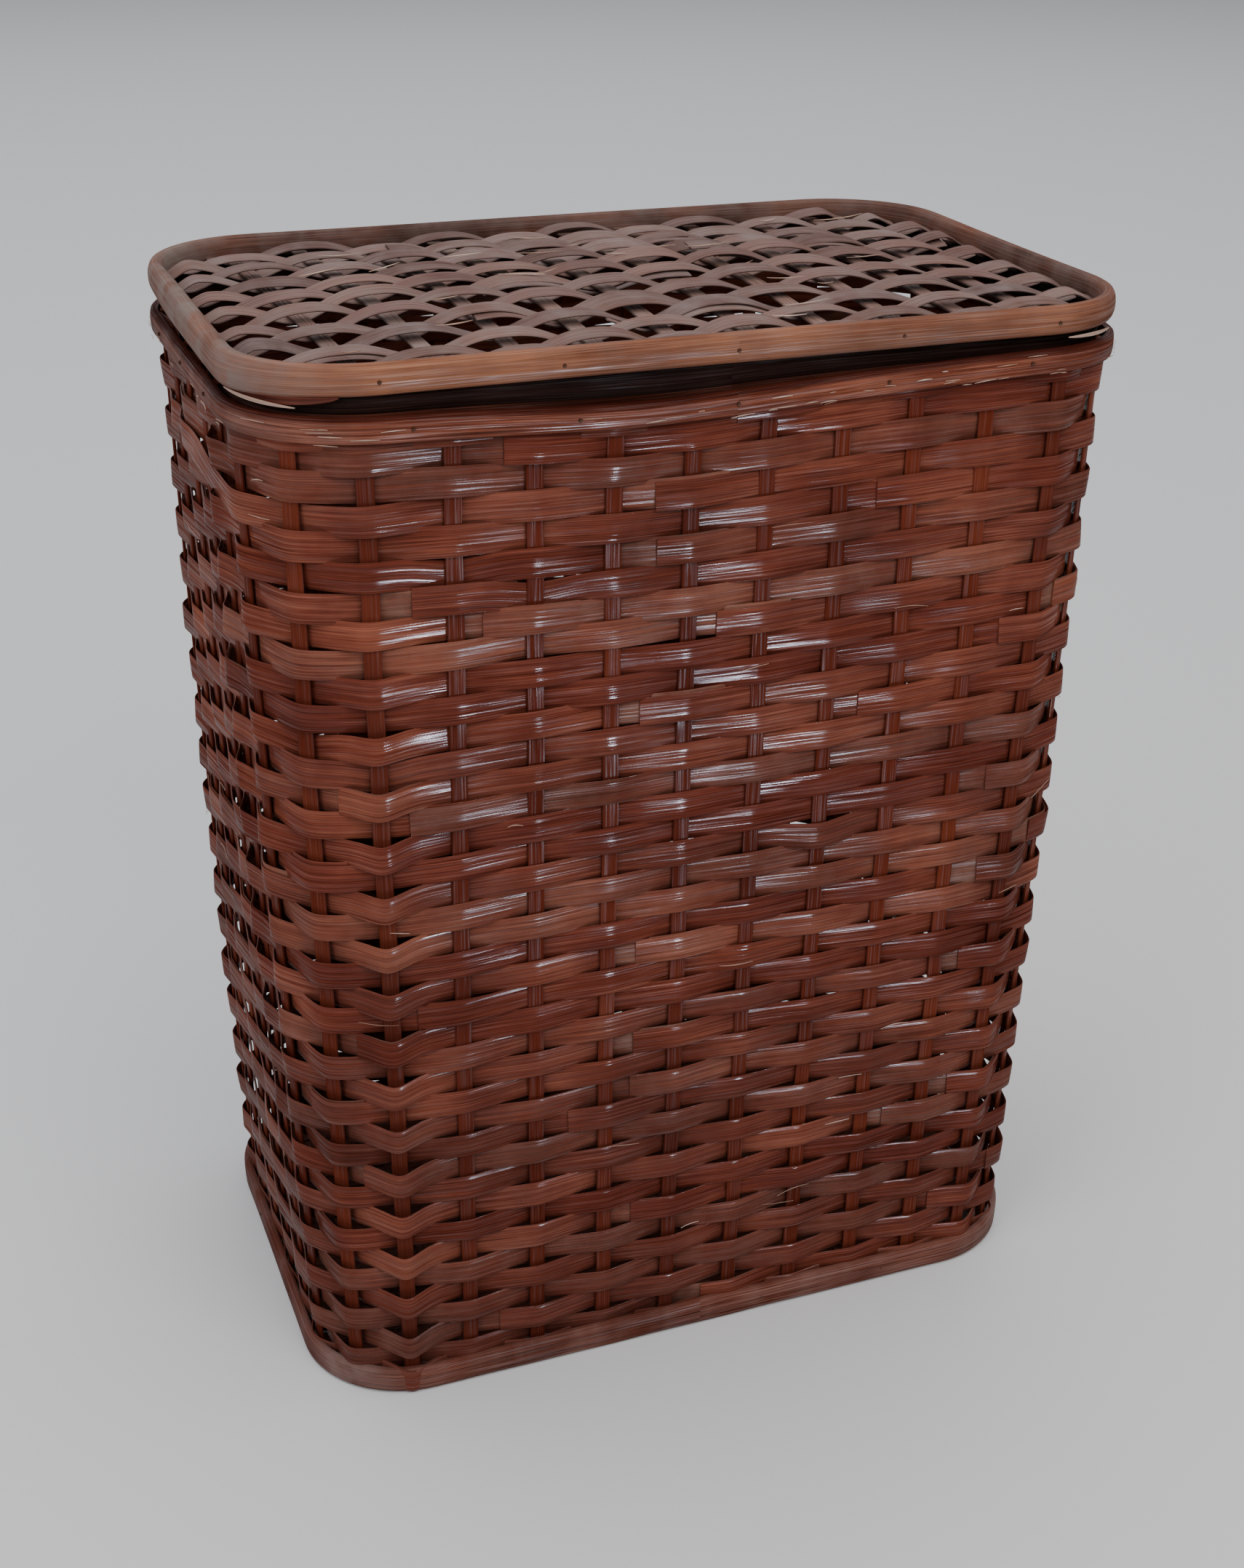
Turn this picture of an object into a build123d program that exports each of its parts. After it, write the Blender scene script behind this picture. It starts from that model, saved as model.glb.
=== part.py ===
"""Woven cane laundry hamper with a hinged lid. Millimetres, +Z up.

The origin is the centre of the footprint, on the floor. X runs along the width and the front faces -Y.
The basket is a rounded box that widens towards the top. Every part of its wall is placed by its inset,
the distance in from the outer faces of the two bands that run round the foot and the rim.
"""

from build123d import *
import math
import os

# Basket, over the outer faces of its bands
HEIGHT = 550.5
TOP = (458.0, 298.4, 65.0)  # width, depth and corner radius at the rim
FOOT = (433.5, 274.8, 58.5)  # the same at the floor

# Bands and wall, from the outside in
OUTER_BAND = 4.5
WEAVE = 4.5
INNER_BAND = 3.5
WEAVE_INSET = OUTER_BAND
INNER_INSET = OUTER_BAND + WEAVE
CLEAR_INSET = INNER_INSET + INNER_BAND
RIM_BAND_TALL = 12.0
FOOT_BAND_TALL = 16.0
FOOT_INNER_TALL = 10.0
WEAVE_START = 2.0
WEAVE_END = HEIGHT - 0.5

# Floor
FLOOR_THICK = 4.0
FLOOR_GAP = 0.2
CROSS_BAR = (14.0, 8.0)  # width and height
CROSS_BAR_X = 105.0

# Upright stakes, which lie in the middle of the weave
STAKE = (8.5, 1.2)  # width and thickness
CHANNEL = (8.9, 1.5)
STAKE_PITCH = 38.5
FRONT_STAKES = 8  # on the flat of the front, and as many on the back
SIDE_STAKES = 4  # on the flat of each side
CORNER_ANGLES = (11.0, 45.5, 80.2)  # from the front or back normal round to the side normal
STAKE_START = 3.0
STAKE_END = WEAVE_END - 0.5
CORNER_CUT = (156.0, 76.0)  # where the flat walls end and the corner walls begin, in x and y

# Lid
LID_INSET = 1.5
RAIL = 5.5
RAIL_TALL = 13.0
LID_GAP = 10.0  # between the rim of the basket and the rail of the lid
SEAT_GAP = 0.3  # between the rim and the lath that the lid sits on
LATH_INSET = INNER_INSET
LATH = 3.5
LID_WEAVE = 4.0
LID_RISE = 7.0
LID_SLOPE = 48.0  # how far in from the rail the lid's weave keeps rising
LID_STAKES = 10
LID_STAKE_DROP = 1.0  # below the weave, clear of its slopes
RAIL_BOTTOM = HEIGHT + LID_GAP

# Hinges: a pin through two eyes on the basket and one on the lid
HINGE_X = 115.0
HINGE_Y = TOP[1] / 2 - 5.0
HINGE_Z = HEIGHT + LID_GAP / 2
PIN_RADIUS = 1.2
PIN_LENGTH = 19.0
PIN_HEAD = (2.0, 0.8)  # radius and thickness
EYE_RADIUS = 3.0
EYE_BORE = PIN_RADIUS + 0.05
EYE_WIDE = 2.4
EYE_SPREAD = 6.0
SHANK_RADIUS = 0.9
SHANK_HOLE = 0.95
BASKET_SHANK = 14.0
LID_SHANK = 12.5

# Tacks
TACK_HEAD = (1.5, 0.6)  # radius and thickness
TACK_SHANK = (0.6, 4.0)  # radius and length
TACK_HOLE = (0.65, 4.2)
TACK_LIFT = 0.04  # of a head off the leaning foot band

os.makedirs("parts", exist_ok=True)


def size_at(z):
    """Width, depth and corner radius of the basket at a height."""
    share = z / HEIGHT
    return [low + (high - low) * share for low, high in zip(FOOT, TOP)]


def outline(z, inset, at=None):
    """The rounded outline of the basket at height at or z, drawn at height z."""
    width, depth, radius = size_at(z if at is None else at)
    return Pos(0, 0, z) * RectangleRounded(width - 2 * inset, depth - 2 * inset, radius - inset)


def tapered(levels, at=None):
    """A solid through the basket's outline at each (z, inset)."""
    return loft([outline(z, inset, at) for z, inset in levels], ruled=True)


def hoop(levels, inner_inset, at=None):
    """A band whose outer face runs through levels and whose inner face is at one inset."""
    low = levels[0][0]
    high = levels[-1][0]
    return tapered(levels, at) - tapered([(low, inner_inset), (high, inner_inset)], at)


def half_round(low, tall, inset):
    """Levels of a half-round cane standing on edge."""
    return [
        (low, inset + 2.0),
        (low + 0.17 * tall, inset + 0.4),
        (low + 0.5 * tall, inset),
        (low + 0.83 * tall, inset + 0.4),
        (low + tall, inset + 2.0),
    ]


def lid_hoop(levels, inner_inset):
    """A hoop of the lid, which keeps the rim's outline at every height."""
    return hoop(levels, inner_inset, at=HEIGHT)


def save(node, solids):
    shape = solids if not isinstance(solids, list) else Compound(children=solids)
    export_step(shape, f"parts/{node}.step")


def mid_point(z, kind, value, sx, sy):
    """A point in the middle of the weave at height z, and the outward normal's angle from +X.

    kind is front, side or corner. value is x on the front or back, y on a side, and in a corner the
    angle from the front or back normal. sx and sy give the quarter.
    """
    width, depth, radius = size_at(z)
    inset = WEAVE_INSET + WEAVE / 2
    if kind == "front":
        return (value, sy * (depth / 2 - inset), z), math.radians(90 * sy)
    if kind == "side":
        return (sx * (width / 2 - inset), value, z), math.radians(90 - 90 * sx)
    turn = math.radians(value)
    across = width / 2 - radius + (radius - inset) * math.sin(turn)
    along = depth / 2 - radius + (radius - inset) * math.cos(turn)
    return (sx * across, sy * along, z), math.atan2(sy * math.cos(turn), sx * math.sin(turn))


def upright(place, section, start, end):
    """A flat strip standing in the middle of the weave."""
    low, facing = mid_point(start, *place)
    high, facing = mid_point(end, *place)
    tangent = Vector(-math.sin(facing), math.cos(facing), 0)
    rise = Vector(*high) - Vector(*low)
    foot = Plane(origin=low, x_dir=tangent, z_dir=rise)
    return extrude(foot * Rectangle(*section), rise.length)


def stakes(places):
    return [upright(place, STAKE, STAKE_START, STAKE_END) for place in places]


def channels(places):
    return [upright(place, CHANNEL, WEAVE_START - 1, WEAVE_END + 1) for place in places]


def spread(count, pitch):
    return [(i - (count - 1) / 2) * pitch for i in range(count)]


def tack(x, y, z, facing):
    """A tack driven straight in from outside. facing is its outward angle from +X, in degrees."""
    out = Rot(0, 90, 0)
    head = Pos(TACK_HEAD[1] / 2, 0, 0) * out * Cylinder(TACK_HEAD[0], TACK_HEAD[1])
    shank = Pos(-TACK_SHANK[1] / 2, 0, 0) * out * Cylinder(*TACK_SHANK)
    hole = Pos(-TACK_HOLE[1] / 2 + 0.1, 0, 0) * out * Cylinder(*TACK_HOLE)
    place = Pos(x, y, z) * Rot(0, 0, facing)
    return place * (head + shank), place * hole


def tack_row(z, inset, along_front, along_side, at=None):
    """Tacks round a band at one height: at each x on front and back, at each y on the sides."""
    width, depth, _ = size_at(z if at is None else at)
    spots = [(x, -depth / 2 + inset, -90) for x in along_front]
    spots += [(x, depth / 2 - inset, 90) for x in along_front]
    spots += [(-width / 2 + inset, y, 180) for y in along_side]
    spots += [(width / 2 - inset, y, 0) for y in along_side]
    made = [tack(x, y, z, facing) for x, y, facing in spots]
    return [tacks for tacks, _ in made], [holes for _, holes in made]


def eye(x, up, shank):
    """A wire eye on the hinge axis, with its shank pointing up or down, and the hole for the shank."""
    along = Rot(0, 90, 0)
    centre = Pos(x, HINGE_Y, HINGE_Z)
    middle = up * (EYE_RADIUS - 0.3 + shank / 2)
    ring = centre * along * Cylinder(EYE_RADIUS, EYE_WIDE)
    stem = centre * Pos(0, 0, middle) * Cylinder(SHANK_RADIUS, shank)
    bore = centre * along * Cylinder(EYE_BORE, EYE_WIDE + 1)
    hole = centre * Pos(0, 0, middle + up * 0.1) * Cylinder(SHANK_HOLE, shank)
    return ring + stem - bore, hole


def hinge_pin(x):
    along = Rot(0, 90, 0)
    centre = Pos(x, HINGE_Y, HINGE_Z)
    pin = centre * along * Cylinder(PIN_RADIUS, PIN_LENGTH)
    for side in (-1, 1):
        pin += centre * Pos(side * (PIN_LENGTH + PIN_HEAD[1]) / 2, 0, 0) * along * Cylinder(*PIN_HEAD)
    return pin


def lid_height(share):
    """Height of the lid weave's underside, where share of its slope has been climbed."""
    return RAIL_BOTTOM + 1.0 + LID_RISE * share


def lid_shell():
    """The lid's weave: a shallow raised panel of even thickness, flat where it meets the rail."""
    edge = LID_INSET + RAIL
    crown = edge + LID_SLOPE
    low = lid_height(0)
    high = lid_height(1)
    outer = tapered([(low, edge), (low + LID_WEAVE, edge), (high + LID_WEAVE, crown)], at=HEIGHT)
    inner = tapered([(low, CLEAR_INSET), (high, crown)], at=HEIGHT)
    return outer - inner


def lid_stake(x):
    """A flat strip running front to back just under the lid's weave, up one slope and down the other."""
    width, depth, radius = TOP
    outer_x = abs(x) + STAKE[0] / 2
    into_corner = max(outer_x - (width / 2 - radius), 0.0)
    corner = radius - CLEAR_INSET
    edge = depth / 2 - radius + math.sqrt(corner**2 - into_corner**2) - 1.0
    slope = LID_INSET + RAIL + LID_SLOPE - CLEAR_INSET
    share = min(1.0, (width / 2 - CLEAR_INSET - outer_x) / slope)
    run = slope * share
    top = lid_height(share) - LID_STAKE_DROP
    foot = lid_height(0) - LID_STAKE_DROP
    upper = [(-edge, foot), (-edge + run, top), (edge - run, top), (edge, foot)]
    lower = [(y, z - STAKE[1]) for y, z in reversed(upper)]
    side = Plane(origin=(x - STAKE[0] / 2, 0, 0), x_dir=(0, 1, 0), z_dir=(1, 0, 0))
    return extrude(side * make_face(Polyline(*upper, *lower, close=True)), STAKE[0])


# Walls and stakes
front_x = spread(FRONT_STAKES, STAKE_PITCH)
side_y = spread(SIDE_STAKES, STAKE_PITCH)
wall = tapered([(WEAVE_START, WEAVE_INSET), (WEAVE_END, WEAVE_INSET)]) - tapered(
    [(WEAVE_START, INNER_INSET), (WEAVE_END, INNER_INSET)]
)
wall_places = {
    "front": [("front", x, 1, -1) for x in front_x],
    "back": [("front", x, 1, 1) for x in front_x],
    "left": [("side", y, -1, 1) for y in side_y],
    "right": [("side", y, 1, 1) for y in side_y],
}
corner_places = {
    "front_left": [("corner", angle, -1, -1) for angle in CORNER_ANGLES],
    "front_right": [("corner", angle, 1, -1) for angle in CORNER_ANGLES],
    "back_left": [("corner", angle, -1, 1) for angle in CORNER_ANGLES],
    "back_right": [("corner", angle, 1, 1) for angle in CORNER_ANGLES],
}
cut_x, cut_y = CORNER_CUT
tall = 2 * HEIGHT
wall_regions = {
    "front": Pos(0, -200, 0) * Box(2 * cut_x, 200, tall),
    "back": Pos(0, 200, 0) * Box(2 * cut_x, 200, tall),
    "left": Pos(-200, 0, 0) * Box(100, 2 * cut_y, tall),
    "right": Pos(200, 0, 0) * Box(100, 2 * cut_y, tall),
}
corner_regions = {
    name: Pos(sx * (cut_x + 100), sy * (cut_y + 100), 0) * Box(200, 200, tall)
    for name, (sx, sy) in {
        "front_left": (-1, -1),
        "front_right": (1, -1),
        "back_left": (-1, 1),
        "back_right": (1, 1),
    }.items()
}

# Hinges come first, because their shanks need holes in the bands and the wall
basket_eyes = [
    eye(side * HINGE_X + offset, -1, BASKET_SHANK)
    for side in (-1, 1)
    for offset in (-EYE_SPREAD, EYE_SPREAD)
]
lid_eyes = [eye(side * HINGE_X, 1, LID_SHANK) for side in (-1, 1)]
basket_holes = [hole for _, hole in basket_eyes]
save("basket_hinge_eyes", [ring for ring, _ in basket_eyes])
save("lid_hinge_eyes", [ring for ring, _ in lid_eyes])
save("hinge_pins", [hinge_pin(side * HINGE_X) for side in (-1, 1)])

for name, places in wall_places.items():
    panel = (wall & wall_regions[name]) - channels(places)
    if name == "back":
        panel = panel - basket_holes
    save(f"{name}_weave", panel)
    save(f"{name}_stakes", stakes(places))

for name, places in corner_places.items():
    save(f"{name}_corner_weave", (wall & corner_regions[name]) - channels(places))
    save(f"{name}_corner_stakes", stakes(places))

# Rim bands
rim_start = HEIGHT - RIM_BAND_TALL
rim_tacks, rim_holes = tack_row(HEIGHT - RIM_BAND_TALL / 2, 0, spread(5, 77.0), spread(3, 60.0))
rim_outer = hoop(half_round(rim_start, RIM_BAND_TALL, 0), WEAVE_INSET)
save("rim_outer_band", rim_outer - rim_holes - basket_holes)
save("rim_inner_band", hoop([(rim_start, INNER_INSET), (HEIGHT, INNER_INSET)], CLEAR_INSET))
save("rim_tacks", rim_tacks)

# Foot bands
foot_tacks, foot_holes = tack_row(FOOT_BAND_TALL / 2, -TACK_LIFT, spread(4, 77.0), spread(2, 77.0))
foot_outer = hoop([(0, 0), (FOOT_BAND_TALL, 0)], WEAVE_INSET)
save("foot_outer_band", foot_outer - foot_holes)
save("foot_inner_band", hoop([(0, INNER_INSET), (FOOT_INNER_TALL, INNER_INSET)], CLEAR_INSET))
save("foot_tacks", foot_tacks)

# Floor
floor_top = FOOT_INNER_TALL + FLOOR_THICK
floor_edge = INNER_INSET + FLOOR_GAP
save("floor_panel", tapered([(FOOT_INNER_TALL, floor_edge), (floor_top, floor_edge)]))
bar_length = FOOT[1] - 2 * CLEAR_INSET - 2 * FLOOR_GAP
bar_middle = FOOT_INNER_TALL - CROSS_BAR[1] / 2
cross_bars = [
    Pos(side * CROSS_BAR_X, 0, bar_middle) * Box(CROSS_BAR[0], bar_length, CROSS_BAR[1])
    for side in (-1, 1)
]
save("floor_cross_bars", cross_bars)

# Lid
rail_middle = RAIL_BOTTOM + RAIL_TALL / 2
lid_tacks, lid_tack_holes = tack_row(rail_middle, LID_INSET, spread(5, 84.0), spread(3, 62.0), at=HEIGHT)
rail = lid_hoop(half_round(RAIL_BOTTOM, RAIL_TALL, LID_INSET), LID_INSET + RAIL)
save("lid_rail", rail - lid_tack_holes - [hole for _, hole in lid_eyes])
lath_bottom = HEIGHT + SEAT_GAP
save("lid_lath", lid_hoop([(lath_bottom, LATH_INSET), (lid_height(0), LATH_INSET)], LATH_INSET + LATH))
save("lid_weave", lid_shell())
save("lid_stakes", [lid_stake(x) for x in spread(LID_STAKES, STAKE_PITCH)])
save("lid_tacks", lid_tacks)
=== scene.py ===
"""Woven cane laundry hamper with a hinged lid: the looks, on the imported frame. Metres, +Z up."""

import math

import bpy
import numpy as np
from mathutils import Matrix, Vector


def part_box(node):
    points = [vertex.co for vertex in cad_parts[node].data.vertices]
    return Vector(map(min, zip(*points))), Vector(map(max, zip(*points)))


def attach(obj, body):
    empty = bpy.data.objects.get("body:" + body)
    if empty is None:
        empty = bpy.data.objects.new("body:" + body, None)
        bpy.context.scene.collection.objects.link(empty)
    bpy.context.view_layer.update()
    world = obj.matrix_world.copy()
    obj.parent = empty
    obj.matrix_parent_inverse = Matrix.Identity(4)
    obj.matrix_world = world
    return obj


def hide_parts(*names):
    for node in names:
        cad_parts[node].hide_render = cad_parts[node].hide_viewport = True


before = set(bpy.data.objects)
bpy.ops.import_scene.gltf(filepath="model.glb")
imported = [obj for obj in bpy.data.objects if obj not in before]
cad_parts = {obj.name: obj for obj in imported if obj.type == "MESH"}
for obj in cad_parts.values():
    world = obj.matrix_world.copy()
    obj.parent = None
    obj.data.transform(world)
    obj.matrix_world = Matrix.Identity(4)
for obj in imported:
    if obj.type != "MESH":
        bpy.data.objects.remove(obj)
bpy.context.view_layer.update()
chance = np.random.default_rng(7)

# ---------------------------------------------------------------- places read from the frame
MM = 0.001
rim_low, rim_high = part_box("rim_outer_band")
foot_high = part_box("foot_outer_band")[1]
rail_low, rail_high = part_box("lid_rail")
lath_low, lath_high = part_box("lid_lath")
panel_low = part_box("lid_weave")[0]
floor_low, floor_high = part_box("floor_panel")
RIM_Z = (rim_low.z + rim_high.z) / 2  # where the rim band is widest
FOOT_Z = foot_high.z
HEIGHT = rim_high.z
CORNER = (58.5 * MM, 65.0 * MM)  # the basket's corner radius at the floor and at the rim

# Layers of the wall, by inset from the outer faces of the bands
BAND = 4.5 * MM
WEAVE_MID = 6.75 * MM
INNER = 9.0 * MM
LATH = 3.5 * MM

# Weave of the wall
STRIP = 14.7 * MM  # width of a cane strip
STRIP_THICK = 1.0 * MM
ROW_PITCH = 13.85 * MM
TOP_ROW_Z = 530.5 * MM
STAKE_PITCH = 38.5 * MM
STAKE_WIDE = 8.4 * MM
STAKE_THICK = 1.7 * MM
WAVE = 1.9 * MM  # how far a strip swings each side of the weave's middle
CORNER_ANGLES = (11.0, 45.5, 80.2)  # degrees round a corner of its three stakes
LEAN = 0.0215  # the walls spread by this much for each unit of height

# Stakes are numbered anticlockwise, seen from above, from the first one right of the front's middle
STAKES = 36
LEFT_SIDE = (24.0, 25.0, 29.0, 30.0)  # stakes where its slackness starts, is full, is still full and ends
SLACK_STAKE = 28
DROOPING_STAKE = 31  # strips hang in loops round this one, at the front left corner
SKIPPING_ROW = 2  # this row lies outside all the stakes of the left side
SKIPPED = (25.3, 29.5)
PARTED = ((5, 33), (4, 32), (11, 31), (10, 30), (16, 1))  # row and the stake it has slid down behind

# Weave of the lid
LID_ROW_PITCH = 17.4 * MM
LID_STRIP = 12.6 * MM
LID_CREST = 5.0 * MM
LID_TROUGH = 3.0 * MM
LID_STAKES = 10
FLOOR_STAKES = 10
LID_SIZES = (rail_high.x, rail_high.y, CORNER[1] - 1.5 * MM)  # half width, half depth and corner radius
RAIL = 5.5 * MM  # how far in from the rail's outer face the lid's weave ends
RAIL_THICK = 8.0 * MM
RAIL_EXTRA = 1.4 * MM  # how much taller the worn rail is than the CAD's
LATH_EXTRA = 3.0 * MM  # how far the lid's lath reaches up behind the rail

# Slack and wear
SAG = (1.5 * MM, 5.0 * MM, 3.2 * MM)  # the front of the rim: its level, its dip and its rise on the right
DIP_X, DIP_WIDE = -45.0 * MM, 80.0 * MM
RISE_X = (30.0 * MM, 200.0 * MM)
BELLY = (1.2 * MM, 2.2 * MM)  # how far the walls bulge, and how much more on the left
WARP = 1.6 * MM  # how far the lid's front corners have dropped
PARTING = 3.2 * MM  # how far a parted row has slid down
DROOP = 2.4 * MM
DUSTY_TAILS = 0.6  # share of the wall's strips whose tails are dusty
FRAYED, FRAYED_ON_RIM = 170, 110  # pale fibres in all, and how many of them are on the rim
LID_SPLINTERS = 26
# Slivers at the lid's corners: side, first and last angle, and inset and drop in millimetres
SLIVERS = ((-1, 80.0, 38.0, 1.2, 4.8), (1, 10.0, 46.0, 1.2, 2.6))


# ---------------------------------------------------------------- the basket's outline
def lerp_z(low, high, z, z_low, z_high):
    """The value at height z on the line from low at z_low to high at z_high."""
    return low + (high - low) * (z - z_low) / (z_high - z_low)


def smooth(low, high, value):
    """Eases from 0 at low to 1 at high. low may be the larger."""
    share = np.clip((value - low) / (high - low), 0.0, 1.0)
    return share * share * (3 - 2 * share)


def half_sizes(z):
    """Half width, half depth and corner radius over the bands at height z."""
    half_x = lerp_z(foot_high.x, rim_high.x, z, FOOT_Z, RIM_Z)
    half_y = lerp_z(foot_high.y, rim_high.y, z, FOOT_Z, RIM_Z)
    return half_x, half_y, lerp_z(*CORNER, z, 0.0, HEIGHT)


def quarter_places(z):
    """Distances along the weave's middle, from the front's middle, of one quarter's nine stakes."""
    half_x, half_y, radius = half_sizes(z)
    flat_x, flat_y, bend = half_x - radius, half_y - radius, radius - WEAVE_MID
    front = [(i + 0.5) * STAKE_PITCH for i in range(4)]
    corner = [flat_x + bend * math.radians(angle) for angle in CORNER_ANGLES]
    side = [flat_x + bend * math.pi / 2 + flat_y - (i + 0.5) * STAKE_PITCH for i in (1, 0)]
    return front + corner + side, flat_x + bend * math.pi / 2 + flat_y


def stake_places(z):
    """Distances of all 36 stakes round the basket, anticlockwise from the front's middle."""
    places, quarter = quarter_places(z)
    second = [2 * quarter - place for place in reversed(places)]
    half = places + second
    return np.array(half + [2 * quarter + place for place in half]), 4 * quarter


def on_outline(distance, z, inset, sizes=None):
    """Points and outward normals at distances measured along the weave's middle. All are arrays."""
    half_x, half_y, radius = sizes or half_sizes(z)
    bend = radius - WEAVE_MID
    flat_x, flat_y = half_x - radius, half_y - radius
    quarter = flat_x + flat_y + bend * math.pi / 2
    around = np.mod(distance, 4 * quarter)
    turn = np.floor_divide(around, quarter).astype(int) % 4
    local = around - turn * quarter
    local = np.where(turn % 2 == 1, quarter - local, local)
    angle = np.clip((local - flat_x) / bend, 0.0, math.pi / 2)
    past = np.clip(local - flat_x - bend * math.pi / 2, 0.0, None)
    reach = radius - inset
    x = np.minimum(local, flat_x) + reach * np.sin(angle)
    y = -(flat_y + reach * np.cos(angle)) + past
    sign_x = np.where(turn >= 2, -1.0, 1.0)
    sign_y = np.where((turn == 1) | (turn == 2), -1.0, 1.0)
    points = np.stack([sign_x * x, sign_y * y, np.broadcast_to(z, x.shape)], axis=-1)
    normals = np.stack([sign_x * np.sin(angle), -sign_y * np.cos(angle), 0 * angle], axis=-1)
    return points, normals


def front_sag(points):
    """How far the front of the rim has sagged or sprung, at its full height."""
    x, y = points[..., 0], points[..., 1]
    front = np.clip(-y / rim_high.y, 0.0, 1.0) ** 3
    level, dip, rise = SAG
    return (level - dip * np.exp(-(((x - DIP_X) / DIP_WIDE) ** 2)) + rise * smooth(*RISE_X, x)) * front


def wear_in(points, sags=1.0):
    """The slack of an old basket: walls that belly out a little and a front rim that has sagged."""
    x, y, z = points[..., 0], points[..., 1], points[..., 2]
    share = np.clip(z / HEIGHT, 0.0, 1.0)
    side = np.clip(-x / rim_high.x, 0.0, 1.0) ** 4
    belly = (BELLY[0] + BELLY[1] * side) * np.sin(math.pi * share)
    length = np.hypot(x / rim_high.x, y / rim_high.y)
    out = np.array(points)
    out[..., 0] = x + belly * (x / rim_high.x) / np.maximum(length, 0.3)
    out[..., 1] = y + belly * (y / rim_high.y) / np.maximum(length, 0.3)
    out[..., 2] = z + sags * front_sag(points) * share**6
    return out


def half_sag(points):
    """The same slack for the band inside the rim, which has kept more of its height."""
    return wear_in(points, sags=0.6)


def lid_settle(points):
    """The lid has warped: it sits low at its two front corners."""
    out = np.array(points)
    ends = np.clip(np.abs(points[..., 0]) / rail_high.x, 0, 1) ** 5
    forward = smooth(0.9 * rail_high.y, -0.4 * rail_high.y, points[..., 1])
    out[..., 2] -= WARP * ends * forward
    return out


def follow_rim(points):
    """The lid's inner lath hangs down to the sagging rim."""
    out = lid_settle(points)
    foot = smooth(lath_high.z, lath_low.z, points[..., 2])
    hang = np.minimum(front_sag(points), 0.0) - 0.2 * MM
    out[..., 2] = (1 - foot) * out[..., 2] + foot * (points[..., 2] + hang)
    return out


# ---------------------------------------------------------------- strips as meshes
UP = np.array([0.0, 0.0, 1.0])
BACKWARD = np.array([0.0, 1.0, 0.0])
LEFTWARD = np.array([-1.0, 0.0, 0.0])

# Sections: each point is a share of the strip's width, and of its thickness
FLAT_CANE = [
    (-0.5, 0.05), (-0.465, 0.42), (-0.2, 0.5), (0.2, 0.5),
    (0.465, 0.42), (0.5, 0.05), (0.45, -0.5), (-0.45, -0.5),
]
ROUND = [
    (math.sin(a) * 0.5, 0.5 * math.copysign(abs(math.cos(a)) ** 0.75, math.cos(a)))
    for a in np.linspace(-3, 3, 20)
]
DISC = [(math.sin(a) * 0.5, math.cos(a) * 0.5) for a in np.arange(12) * math.pi / 6]
ROUNDED = [(math.sin(a) * 0.5, 0.5 * math.cos(a) ** 0.45) for a in np.linspace(-1.4, 1.4, 13)] + [
    (0.47, -0.5), (-0.47, -0.5),
]
FLAT_BAND = [
    (-0.5, -0.3), (-0.49, 0.3), (-0.42, 0.5), (-0.15, 0.54), (0.15, 0.54),
    (0.42, 0.5), (0.49, 0.3), (0.5, -0.3), (0.46, -0.5), (-0.46, -0.5),
]


def unit(vectors):
    """Each vector at length 1."""
    return vectors / np.maximum(np.linalg.norm(vectors, axis=-1, keepdims=True), 1e-9)


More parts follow.
